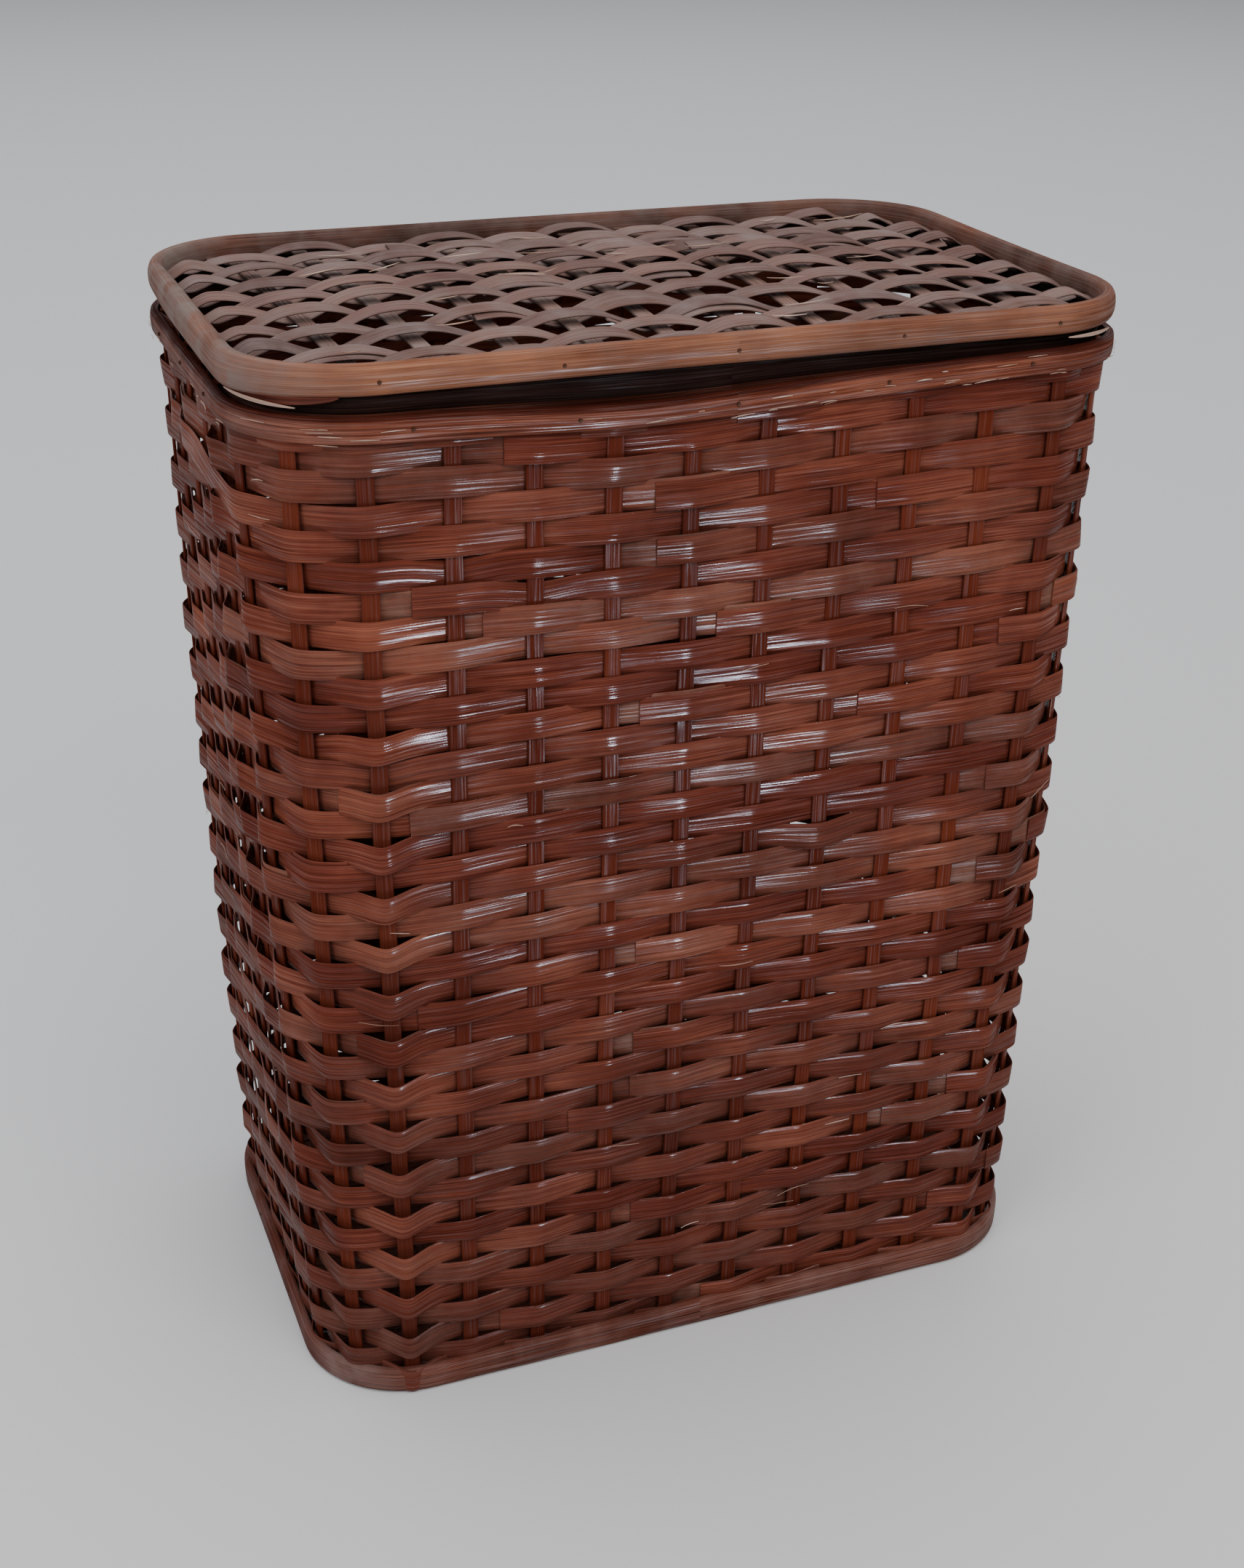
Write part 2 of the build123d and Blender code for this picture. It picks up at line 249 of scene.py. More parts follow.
class Strands:
    """Strips swept along paths, gathered into one mesh with cane UVs, in metres, and a tint."""

    def __init__(self):
        self.points, self.faces, self.uvs, self.tints, self.count = [], [], [], [], 0

    def add(self, path, across, section, wide, thick, tint, closed=False, lift=0.0):
        """across is the strip's width direction. It, wide, thick and lift may vary along the path."""
        n, m = len(path), len(section)
        across = np.broadcast_to(across, path.shape)
        section = np.array(section)
        if closed:
            along = unit(np.roll(path, -1, axis=0) - np.roll(path, 1, axis=0))
        else:
            along = unit(np.gradient(path, axis=0))
        across = unit(across - along * np.sum(across * along, axis=1, keepdims=True))
        out = np.cross(along, across)
        wide = np.broadcast_to(wide, n)[:, None, None]
        thick = np.broadcast_to(thick, n)[:, None, None]
        lift = np.broadcast_to(lift, n)[:, None, None]
        ring = path[:, None, :] + across[:, None, :] * section[None, :, 0:1] * wide
        ring = ring + out[:, None, :] * (section[None, :, 1:2] * thick + lift)
        steps = np.linalg.norm(np.diff(path, axis=0), axis=1)
        length = np.concatenate([[0.0], np.cumsum(steps)])
        rows = np.arange(n if closed else n - 1)
        i, j = np.meshgrid(rows, np.arange(m), indexing="ij")
        following, beside = (i + 1) % n, (j + 1) % m
        corners = [i * m + j, following * m + j, following * m + beside, i * m + beside]
        quads = np.stack(corners, axis=-1).reshape(-1, 4)
        start = chance.uniform(0, 50.0)
        band = chance.uniform(0, 5.0)
        edge = np.concatenate([[0.0], np.cumsum(np.linalg.norm(np.diff(section, axis=0), axis=1))])
        closing = edge[-1] + np.linalg.norm(section[0] - section[-1])
        v_low = np.append(edge, closing) * float(np.mean(wide)) + band
        u_low = np.append(length, length[-1] + np.linalg.norm(path[0] - path[-1])) + start
        u = np.stack([u_low[i], u_low[i + 1], u_low[i + 1], u_low[i]], axis=-1)
        v = np.stack([v_low[j], v_low[j], v_low[j + 1], v_low[j + 1]], axis=-1)
        self.points.append(ring.reshape(-1, 3))
        self.faces.append(quads + self.count)
        self.uvs.append(np.stack([u, v], axis=-1).reshape(-1, 2))
        tint = np.asarray(tint, float)
        tint = tint[:, None, :] if tint.ndim == 2 else tint
        self.tints.append(np.broadcast_to(tint, (n, m, 3)).reshape(-1, 3))
        if not closed:
            self.cap(np.arange(m)[::-1] + self.count, u_low[0], v_low)
            self.cap(np.arange(m) + self.count + (n - 1) * m, u_low[n - 1], v_low)
        self.count += n * m

    def cap(self, loop, u, v_low):
        """Closes a strip's cut end with a fan of quads."""
        m = len(loop)
        for k in range(1, m - 2, 2):
            self.faces.append(loop[[0, k, k + 1, k + 2]][None, :])
            self.uvs.append(np.array([[u, v_low[0]]] * 4))

    def build(self, name, material, body, bend=None, sharp=38.0):
        """Makes the mesh object and puts it on its body. bend moves the points first."""
        points = np.concatenate(self.points)
        points = bend(points) if bend else points
        faces = np.concatenate(self.faces)
        mesh = bpy.data.meshes.new(name)
        mesh.vertices.add(len(points))
        mesh.vertices.foreach_set("co", points.astype(np.float32).ravel())
        mesh.loops.add(faces.size)
        mesh.loops.foreach_set("vertex_index", faces.astype(np.int32).ravel())
        mesh.polygons.add(len(faces))
        mesh.polygons.foreach_set("loop_start", np.arange(0, faces.size, 4, dtype=np.int32))
        mesh.update(calc_edges=True)
        uv_map = mesh.uv_layers.new(name="cane")
        uv_map.data.foreach_set("uv", np.concatenate(self.uvs).astype(np.float32).ravel())
        tint = mesh.attributes.new("tint", "FLOAT_COLOR", "POINT")
        colours = np.concatenate(self.tints)
        colours = np.concatenate([colours, np.ones((len(colours), 1))], axis=1)
        tint.data.foreach_set("color", colours.astype(np.float32).ravel())
        mesh.validate()
        mesh.shade_smooth()
        mesh.set_sharp_from_angle(angle=math.radians(sharp))
        mesh.materials.append(material)
        piece = bpy.data.objects.new(name, mesh)
        bpy.context.scene.collection.objects.link(piece)
        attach(piece, body)
        return piece


def tint_of(spread=0.16, dust=0.25):
    """A strip's own brightness, dustiness and hue, each about 0.5."""
    return [
        float(np.clip(chance.normal(0.5, spread), 0.05, 0.95)),
        float(np.clip(chance.normal(dust, 0.15), 0.0, 1.0)),
        float(chance.uniform(0.2, 0.8)),
    ]


def wander(positions, amount, waves=3):
    """A smooth random wave along a strip."""
    total = 0 * positions
    for k in range(1, waves + 1):
        total = total + math.sin(1.7 * k) * np.sin(positions * 0.37 * k + chance.uniform(0, 6.28))
    return amount * total / waves


# ---------------------------------------------------------------- materials
def node_material(name):
    """A new node material, with its nodes, links and shader."""
    material = bpy.data.materials.new(name)
    material.use_nodes = True
    nodes, links = material.node_tree.nodes, material.node_tree.links
    return material, nodes, links, nodes["Principled BSDF"]


def scaled_uv(nodes, links, along, across):
    """The cane UVs, in metres, scaled to waves per metre along and across the strip."""
    uv = nodes.new("ShaderNodeUVMap")
    uv.uv_map = "cane"
    mapping = nodes.new("ShaderNodeMapping")
    mapping.inputs["Scale"].default_value = (along, across, 1.0)
    links.new(uv.outputs["UV"], mapping.inputs["Vector"])
    return mapping.outputs["Vector"]


def noise(nodes, links, vector, scale=1.0, detail=3.0, rough=0.55):
    texture = nodes.new("ShaderNodeTexNoise")
    texture.inputs["Scale"].default_value = scale
    texture.inputs["Detail"].default_value = detail
    texture.inputs["Roughness"].default_value = rough
    links.new(vector, texture.inputs["Vector"])
    return texture.outputs["Fac"]


def ramp(nodes, links, value, stops):
    """A colour for a value, from stops of place and colour."""
    node = nodes.new("ShaderNodeValToRGB")
    elements = node.color_ramp.elements
    while len(elements) < len(stops):
        elements.new(0.5)
    for element, (place, colour) in zip(elements, stops):
        element.position = place
        element.color = (*colour, 1.0)
    links.new(value, node.inputs["Fac"])
    return node.outputs["Color"]


def mix(nodes, links, share, one, two, blend="MIX"):
    """A share of colour two over colour one."""
    node = nodes.new("ShaderNodeMix")
    node.data_type = "RGBA"
    node.blend_type = blend
    for socket, value in ((node.inputs["Factor"], share), (node.inputs["A"], one), (node.inputs["B"], two)):
        put(links, socket, value)
    return [s for s in node.outputs if s.type == "RGBA"][0]


def put(links, socket, value):
    """Links a socket to another one, or sets it to a colour or a number."""
    if isinstance(value, bpy.types.NodeSocket):
        links.new(value, socket)
    elif isinstance(value, tuple):
        socket.default_value = (*value, 1.0)
    else:
        socket.default_value = value


def maths(nodes, links, kind, one, two):
    """One sum on two values, each a socket or a number."""
    node = nodes.new("ShaderNodeMath")
    node.operation = kind
    put(links, node.inputs[0], one)
    put(links, node.inputs[1], two)
    return node.outputs[0]


def map_range(nodes, links, value, low, high, to_low, to_high):
    """A value's place between low and high, moved to between to_low and to_high."""
    node = nodes.new("ShaderNodeMapRange")
    links.new(value, node.inputs["Value"])
    for label, number in zip(("From Min", "From Max", "To Min", "To Max"), (low, high, to_low, to_high)):
        node.inputs[label].default_value = number
    return node.outputs["Result"]


def cane_material(name, dark, mid, light, dust=(0.2, 0.16, 0.15), dust_share=0.3,
                  rough=(0.16, 0.42), shine=0.35, grain=1.0, varied=1.0):
    """Stained and varnished cane: fibres, blotches, each strip's tint, dust and streaky gloss. The tint is
    the strip's own tone, with painted light and shade added by some callers.

    dark, mid and light are its colours, grain the strength of its fibres, and varied how much
    one strip differs from the next.
    """
    material, nodes, links, shader = node_material(name)

    def add(one, two):
        return maths(nodes, links, "ADD", one, two)

    def times(one, two):
        return maths(nodes, links, "MULTIPLY", one, two)

    def spread(value, weight):
        return times(maths(nodes, links, "SUBTRACT", value, 0.5), weight)

    fine = noise(nodes, links, scaled_uv(nodes, links, 22.0, 1800.0), detail=2.0)
    broad = noise(nodes, links, scaled_uv(nodes, links, 11.0, 560.0), detail=3.0)
    cracks = noise(nodes, links, scaled_uv(nodes, links, 13.0, 820.0), detail=1.0)
    place = nodes.new("ShaderNodeTexCoord").outputs["Object"]
    blotch = noise(nodes, links, place, scale=17.0, detail=4.0)
    attribute = nodes.new("ShaderNodeAttribute")
    attribute.attribute_name = "tint"
    split = nodes.new("ShaderNodeSeparateColor")
    links.new(attribute.outputs["Color"], split.inputs["Color"])
    own, dusty, hue = split.outputs
    fibres = add(spread(fine, 0.8 * grain), spread(broad, 0.75 * grain))
    tone = add(fibres, add(spread(own, 0.75 * varied), spread(blotch, 0.7)))
    colour = ramp(nodes, links, add(tone, 0.5), [(0.12, dark), (0.5, mid), (0.87, light)])
    warmth = ramp(nodes, links, hue, [(0.2, (0.5, 0.3, 0.33)), (0.8, (0.62, 0.42, 0.24))])
    shifted = mix(nodes, links, 0.22 * varied, colour, warmth, "OVERLAY")
    split_line = map_range(nodes, links, cracks, 0.63, 0.69, 0.0, 0.55 * grain)
    lined = mix(nodes, links, split_line, shifted, tuple(0.35 * channel for channel in dark))
    film = map_range(nodes, links, noise(nodes, links, place, scale=60.0, detail=3.0), 0.35, 0.7, 0.3, 1.0)
    share = times(times(film, dusty), dust_share)
    links.new(mix(nodes, links, share, lined, dust), shader.inputs["Base Color"])
    patches = noise(nodes, links, place, scale=42.0, detail=2.0)
    gloss = add(map_range(nodes, links, patches, 0.36, 0.62, rough[0], rough[1]), times(share, 0.5))
    links.new(gloss, shader.inputs["Roughness"])
    streaks = map_range(nodes, links, cracks, 0.42, 0.54, 2.2 * shine, 0.05 * shine)
    threads = map_range(nodes, links, fine, 0.42, 0.58, 0.1, 1.7)
    links.new(times(streaks, threads), shader.inputs["Specular IOR Level"])
    bump = nodes.new("ShaderNodeBump")
    bump.inputs["Strength"].default_value = 0.75 * grain
    bump.inputs["Distance"].default_value = 0.2 * MM
    fibre_relief = add(times(fine, 0.35), times(broad, 0.9))
    crack_relief = add(times(cracks, 0.8), times(split_line, -0.3))
    links.new(add(fibre_relief, crack_relief), bump.inputs["Height"])
    links.new(bump.outputs["Normal"], shader.inputs["Normal"])
    return material


def wire_material(name, colour, rough):
    """Dull steel with a brown bloom of rust."""
    material, nodes, links, shader = node_material(name)
    place = nodes.new("ShaderNodeTexCoord").outputs["Object"]
    rust = noise(nodes, links, place, scale=400.0, detail=4.0)
    rusty = ramp(nodes, links, rust, [(0.4, colour), (0.7, (0.16, 0.07, 0.035))])
    links.new(rusty, shader.inputs["Base Color"])
    links.new(map_range(nodes, links, rust, 0.3, 0.7, rough, rough + 0.3), shader.inputs["Roughness"])
    shader.inputs["Metallic"].default_value = 0.8
    bump = nodes.new("ShaderNodeBump")
    bump.inputs["Distance"].default_value = 0.1 * MM
    links.new(rust, bump.inputs["Height"])
    links.new(bump.outputs["Normal"], shader.inputs["Normal"])
    return material


wall_cane = cane_material(
    "wall_cane", (0.04, 0.008, 0.0055), (0.132, 0.032, 0.0205), (0.3, 0.098, 0.057),
    dust=(0.24, 0.145, 0.11), dust_share=0.8, rough=(0.1, 0.24), shine=0.16, grain=0.8, varied=0.5,
)
stake_cane = cane_material(
    "stake_cane", (0.04, 0.007, 0.004), (0.105, 0.021, 0.011), (0.21, 0.052, 0.026),
    dust_share=0.1, rough=(0.3, 0.5), shine=0.1, grain=0.3, varied=0.6,
)
rim_cane = cane_material(
    "rim_cane", (0.04, 0.009, 0.006), (0.125, 0.032, 0.018), (0.32, 0.12, 0.075),
    dust=(0.2, 0.135, 0.115), dust_share=0.6, rough=(0.25, 0.5), shine=0.25,
)
foot_cane = cane_material(
    "foot_cane", (0.03, 0.008, 0.005), (0.1, 0.03, 0.02), (0.23, 0.1, 0.075),
    dust=(0.27, 0.19, 0.17), dust_share=0.95, rough=(0.45, 0.7), shine=0.2,
)
inner_cane = cane_material(
    "inner_cane", (0.03, 0.009, 0.006), (0.1, 0.03, 0.018), (0.2, 0.08, 0.05),
    rough=(0.5, 0.7), shine=0.2,
)
# Near-black: partly the lath's own dark stain and partly painted shade for the recess under the rail.
lath_cane = cane_material(
    "lath_cane", (0.008, 0.004, 0.004), (0.016, 0.008, 0.0075), (0.035, 0.018, 0.016),
    rough=(0.6, 0.8), shine=0.1,
)
rail_cane = cane_material(
    "lid_rail_cane", (0.045, 0.015, 0.009), (0.185, 0.071, 0.039), (0.4, 0.18, 0.1),
    dust=(0.2, 0.152, 0.135), dust_share=1.15, rough=(0.3, 0.5), shine=0.3, grain=0.65,
)
# The lid's strips and stakes are greyer and dustier than the wall: partly dust and partly painted sheen on
# the lid's top.
lid_cane = cane_material(
    "lid_cane", (0.046, 0.019, 0.015), (0.128, 0.069, 0.056), (0.235, 0.148, 0.124),
    dust=(0.232, 0.184, 0.176), dust_share=0.8, rough=(0.35, 0.6), shine=0.25, grain=0.6,
)
lid_stake_cane = cane_material(
    "lid_stake_cane", (0.05, 0.02, 0.014), (0.15, 0.08, 0.062), (0.26, 0.17, 0.14),
    dust=(0.3, 0.24, 0.225), dust_share=0.7, rough=(0.4, 0.6), shine=0.3,
)
pale_fibre = cane_material(
    "pale_fibre", (0.28, 0.17, 0.12), (0.45, 0.33, 0.26), (0.65, 0.54, 0.46),
    rough=(0.4, 0.6),
)
steel = wire_material("steel_wire", (0.24, 0.22, 0.2), 0.35)
tack_steel = wire_material("tack_steel", (0.13, 0.06, 0.04), 0.5)


# ---------------------------------------------------------------- wall weave
# Where a strip's path is sampled between one stake and the next
BETWEEN = np.array([0.0, 0.03, 0.06, 0.1, 0.18, 0.34, 0.5, 0.66, 0.82, 0.9, 0.94, 0.97])


def swing(fraction, ease=0.09):
    """From 1 at a stake to -1 at the next: flat at the stakes and straight between them."""
    slope = 1.0 / (0.5 - ease / 2)
    near = np.minimum(fraction, 1.0 - fraction)
    eased = np.where(near < ease, slope * near**2 / (2 * ease), slope * (ease / 2 + near - ease))
    return np.where(fraction <= 0.5, 1.0 - eased, eased - 1.0)


def strip_samples(start, end):
    """Stake coordinates along a strip from start to end, densest at the stakes."""
    whole = np.arange(math.floor(start), math.ceil(end) + 1)
    every = (whole[:, None] + BETWEEN[None, :]).ravel()
    inside = every[(every > start + 0.01) & (every < end - 0.01)]
    return np.concatenate([[start], inside, [end]])


def near_stake(turn, stake, reach):
    """1 at a stake, and fading to 0 round it."""
    return np.exp(-(((turn - stake) / reach) ** 2))


def strip_line(place, z):
    """The middle of the weave at stake coordinates, pulled a little straighter between stakes."""
    stakes, around = stake_places(z)
    index = np.floor(place).astype(int)
    fraction = place - index
    low = stakes[index % STAKES] + around * (index // STAKES)
    high = stakes[(index + 1) % STAKES] + around * ((index + 1) // STAKES)
    centre, normals = on_outline(low + (high - low) * fraction, z, WEAVE_MID)
    chord = on_outline(low, z, WEAVE_MID)[0] * (1 - fraction)[:, None]
    chord = chord + on_outline(high, z, WEAVE_MID)[0] * fraction[:, None]
    taut = 0.3 * smooth(0.0, 0.35, np.minimum(fraction, 1 - fraction))[:, None]
    return centre * (1 - taut) + chord * taut, normals, index, fraction


def wall_strip(strands, row, start, end):
    """One cane strip of a row. Its head lies over the strip before it."""
    place = strip_samples(start, end)
    turn = place % STAKES
    margin = STRIP / 2 + 2 * MM
    z = float(np.clip(TOP_ROW_Z - row * ROW_PITCH, margin, HEIGHT - margin))
    share = z / HEIGHT
    centre, normals, index, fraction = strip_line(place, z)
    over = np.where((index + row) % 2 == 1, 1.0, -1.0)
    wave = over * swing(fraction)
    outer = np.maximum(wave, 0.0)

    corner = np.clip(3.2 * np.abs(normals[:, 0] * normals[:, 1]), 0, 1)
    sprung = (0.5 + 0.5 * smooth(0.8, 0.5, share)) * corner
    facing = 0.3 + 0.7 * np.abs(normals[:, 1])
    loose = 1.0 + 0.7 * smooth(0.55, 0.05, share) * facing + sprung + wander(place, 0.2)
    droop = outer * near_stake(turn, DROOPING_STAKE, 0.5) * smooth(0.85, 0.6, share)
    outward = wave * loose + outer * slack_side(turn, share) + droop
    if row == SKIPPING_ROW:
        skips = smooth(SKIPPED[0], SKIPPED[0] + 0.6, turn) * smooth(SKIPPED[1], SKIPPED[1] - 0.6, turn)
        outward = outward * (1 - skips) + 2.0 * skips
    path = centre + normals * (outward * WAVE)[:, None]

    sway = wander(place * 1.6, 0.45 * MM) * smooth(0.7, 0.2, share)
    path[:, 2] += row_drift(place, row) + sway + 0.3 * MM * wave - DROOP * droop
    for parted_row, stake in PARTED:
        if row == parted_row:
            path[:, 2] -= PARTING * near_stake(turn, stake, 0.45)

    lean = wander(place * 2.6, 0.17, 4)
    up = UP + normals * (LEAN + lean)[:, None]
    raised = STRIP_THICK * smooth(start + 2.1, start + 1.5, place)
    narrow = 0.5 * MM * smooth(0.45, 0.12, share) + chance.uniform(-0.3, 0.3) * MM
    wide = (STRIP - narrow) * (1 + wander(place, 0.02))
    own = np.tile(tint_of(0.13, 0.1), (len(place), 1))
    if chance.random() < DUSTY_TAILS:
        tail = chance.uniform(0.35, 0.8) * smooth(end - 1.74, end - 1.7, place)
        own[:, 1] = np.maximum(own[:, 1], tail)
    # Painted shade: the lower rows are made darker, most of all near the foot.
    own[:, 0] -= 0.17 * smooth(0.7, 0.1, share)
    strands.add(path, up, FLAT_CANE, wide, STRIP_THICK, own, lift=raised)


def slack_side(turn, share):
    """The strips stand out on the left side, most of all round its front stake."""
    starts, full, fading, ends = LEFT_SIDE
    side = 0.4 * smooth(starts, full, turn) * smooth(ends, fading, turn)
    return (side + 1.6 * near_stake(turn, SLACK_STAKE, 0.45)) * smooth(0.1, 0.6, share)


def row_drift(place, row):
    """Rows wander up and down together, so that neighbours keep touching."""
    return 0.6 * MM * (np.sin(0.45 * place + 0.21 * row) + np.sin(0.83 * place - 0.17 * row + 1.3))


def cad_nodes(ending):
    """The basket's CAD nodes whose names end so."""
    return [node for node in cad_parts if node.endswith(ending) and not node.startswith("lid")]


def wall_rows():
    """All the rows, in pieces of two. Each row is a few strips, one lapped over the next."""
    thirds = np.array([0, 12, 24, 36])
    for group, upper in enumerate(range(-1, 39, 2)):
        strands = Strands()
        for row in (upper, upper + 1):
            first = chance.integers(0, STAKES)
            turns = first + thirds + [0, *chance.integers(-3, 4, 2), 0]
            cuts = [turn + (turn + row) % 2 + chance.uniform(0.33, 0.62) for turn in turns[:-1]]
            for cut, following in zip(cuts, cuts[1:] + [cuts[0] + STAKES]):
                wall_strip(strands, row, cut, math.floor(following) + 1.75)
        piece = strands.build(f"wall_strips_{group + 1:02d}", wall_cane, "basket", bend=wear_in)
        if group == 0:
            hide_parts(*cad_nodes("_weave"))


def wall_stakes():
    """The upright stakes, in one piece for each half of the basket."""
    levels = np.linspace(3 * MM, HEIGHT - 1.5 * MM, 80)
    grid = np.array([stake_places(z)[0] for z in levels])
    halves = {"front_half": [*range(0, 9), *range(27, 36)], "back_half": range(9, 27)}
    for name, chosen in halves.items():
        strands = Strands()
        for k in chosen:
            path, outward = [], []
            for z, distance in zip(levels, grid[:, k]):
                point, normal = on_outline(np.array([distance]), z, WEAVE_MID)
                path.append(point[0])
                outward.append(normal[0])
            path, outward = np.array(path), np.array(outward)
            across = np.cross(outward, UP)
            path = path + across * wander(levels * 60, 0.6 * MM)[:, None]
            strands.add(path, across, FLAT_CANE, STAKE_WIDE, STAKE_THICK, tint_of(0.12, 0.15))
        piece = strands.build(f"wall_stakes_{name}", stake_cane, "basket", bend=wear_in)
        if name == "front_half":
            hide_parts(*cad_nodes("_stakes"))


# ---------------------------------------------------------------- bands and laths
def hoop_path(z, inset, sizes, count=260):
    """Points and normals once round the outline at height z."""
    half_x, half_y, radius = sizes
    around = 4 * (half_x + half_y - 2 * radius + (radius - WEAVE_MID) * math.pi / 2)
    distance = np.linspace(0, around, count, endpoint=False)
    return on_outline(distance, z, inset, sizes)


def foot_tint(normals):
    """The foot is scuffed pale in patches, most of all on its corners."""
    corner = (2 * np.abs(normals[:, 0] * normals[:, 1])) ** 2
    turns = np.arange(len(normals)) * 0.6
    scuffs = 0.1 + 0.55 * corner + wander(turns, 0.35, 5) + wander(turns * 3.1, 0.2, 4)
    return np.clip(scuffs, 0.0, 1.0)


def side_tint(normals, section, dusty, inner):
    """A band's tint: dusty on the left, with painted light and shade: brightest in front, a little lighter
    on the left, dark at the back and on its inner side.
    """
    front, left = np.clip(-normals[:, 1], 0, 1) ** 2, np.clip(-normals[:, 0], 0, 1) ** 2
    turns = np.arange(len(normals)) * 0.12
    # Painted light and shade: brighter where the band faces the front or the left, darker at the back.
    own = 0.34 + 0.26 * front + 0.12 * left + wander(turns, 0.12, 4)
    dust = dusty * (0.12 + 0.88 * left + 0.08 * front) + wander(turns, 0.12, 4)
    tint = np.stack([own, np.clip(dust, 0, 1), 0.12 + 0.58 * front], axis=-1)
    tint = np.repeat(tint[:, None, :], len(section), axis=1)
    # Painted shade: the band's inner side is made darker; it is also made dustier and less warm.
    behind = np.array(section)[:, 1] < 0
    tint[:, behind, 0] -= inner
    tint[:, behind, 1] += 1.5 * inner
    tint[:, behind, 2] -= 2 * inner
    return np.clip(tint, 0.0, 1.0)


def band(name, z, tall, inset, thick, section, material, body, slot, node,
         sizes=None, bend=None, twist=0.0, dusty=0.3, inner=0.0, dark=0.0, painted_top_shade=0.0,
         ragged=False, fat=0.0):
    """A band or rail bent round the basket, its middle at height z and its outer face at inset.

    dusty sets its dust, and inner, dark and the top shade paint shade on its inner side, all over and along
    its top; ragged scuffs it, and fat swells its left side.
    """
    strands = Strands()
    path, normals = hoop_path(z, inset + thick / 2, sizes or half_sizes(z))
    turns = np.arange(len(path)) * 0.15
    path = path + normals * wander(turns, 0.25 * MM)[:, None]
    up = UP + normals * twist
    left = np.clip(-normals[:, 0], 0, 1) ** 3 * smooth(0.8 * rail_high.y, 0.2 * rail_high.y, path[:, 1])
    path[:, 2] -= 0.25 * fat * left * tall
    tall = tall * (1 + wander(turns, 0.02, 4) + 0.5 * fat * left)
    thick = thick * (1 + fat * left)
    tint = side_tint(normals, section, dusty, inner)
    # dark lowers the tone all over; the band inside the rim uses it as painted shade.
    tint[..., 0] = np.clip(tint[..., 0] - dark, 0.0, 1.0)
    if ragged:
        tint[..., 1] = foot_tint(normals)[:, None]
        tall = tall * (1 + wander(turns * 2.3, 0.09, 5))
    # Painted shade: the top of the section is darkened, for the shade under the lid's rail and lath.
    top = smooth(0.22, 0.42, np.array(section)[:, 0]) * painted_top_shade
    tint[..., :2] *= (1 - top)[None, :, None]
    strands.add(path, up, section, tall, thick, tint, closed=True)
    piece = strands.build(name, material, body, bend=bend, sharp=50.0)
    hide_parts(node)


def basket_bands():
    """The bands and laths of the rim and the foot."""
    lean = (half_sizes(HEIGHT)[0] - half_sizes(0)[0]) / HEIGHT
    rim_tall = rim_high.z - rim_low.z
    foot_tall = foot_high.z
    inner_foot_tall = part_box("foot_inner_band")[1].z
    # Painted shade darkens this band's top, under the lid.
    band(
        "rim_outer", RIM_Z, rim_tall, 0.4 * MM, BAND, ROUNDED,
        rim_cane, "basket", "rim_cane", "rim_outer_band",
        bend=wear_in, twist=lean, dusty=0.8, painted_top_shade=1.0,
    )
    # Painted shade: this band is darkened all over, inside the basket under the lid.
    band(
        "rim_inner", RIM_Z, rim_tall, INNER, LATH, FLAT_BAND,
        inner_cane, "basket", "inner_cane", "rim_inner_band",
        bend=half_sag, twist=lean, dark=0.6,
    )
    band(
        "foot_outer", foot_tall / 2, 0.96 * foot_tall, 0, BAND, FLAT_BAND,
        foot_cane, "basket", "foot_cane", "foot_outer_band",
        twist=lean, ragged=True,
    )
    band(
        "foot_inner", inner_foot_tall / 2, inner_foot_tall, INNER, LATH, FLAT_BAND,
        inner_cane, "basket", "inner_cane", "foot_inner_band",
        twist=lean,
    )


# ---------------------------------------------------------------- lid
def lid_frame():
    """The lid's rail and the lath inside it."""
    rail_tall = rail_high.z - rail_low.z + RAIL_EXTRA
    rail_middle = (rail_high.z + rail_low.z + RAIL_EXTRA) / 2
    band(
        "lid_rail_cane", rail_middle, rail_tall, 0, RAIL_THICK, ROUND,
        rail_cane, "lid", "lid_rail_cane", "lid_rail",
        sizes=LID_SIZES, bend=lid_settle, dusty=0.9, inner=0.2, fat=0.4,
    )
    lath_tall = lath_high.z - lath_low.z + LATH_EXTRA
    lath_middle = (lath_high.z + lath_low.z + LATH_EXTRA) / 2
    # The lath's near-black finish is partly its own stain and partly painted shade under the rail.
    band(
        "lid_inner_lath", lath_middle, lath_tall, rail_high.x - lath_high.x, LATH, FLAT_BAND,
        lath_cane, "lid", "lath_cane", "lid_lath",
        sizes=LID_SIZES, bend=follow_rim,
    )


def lid_level(x, y):
    """Height of the middle of the lid's weave: low at the rail and domed."""
    rise_x = smooth(rail_high.x, 0.3 * rail_high.x, np.abs(x))
    rise_y = smooth(rail_high.y, 0.1 * rail_high.y, np.abs(y))
    return panel_low.z + 3.0 * MM + 6.5 * MM * rise_x * rise_y


def woven_reach(along, half_along, half_across, radius):
    """How far a flat weave with rounded corners reaches at a place along one of its sides."""
    into = np.maximum(np.abs(along) - (half_along - radius), 0.0)
    return half_across - radius + np.sqrt(np.maximum(radius**2 - into**2, 0.0))


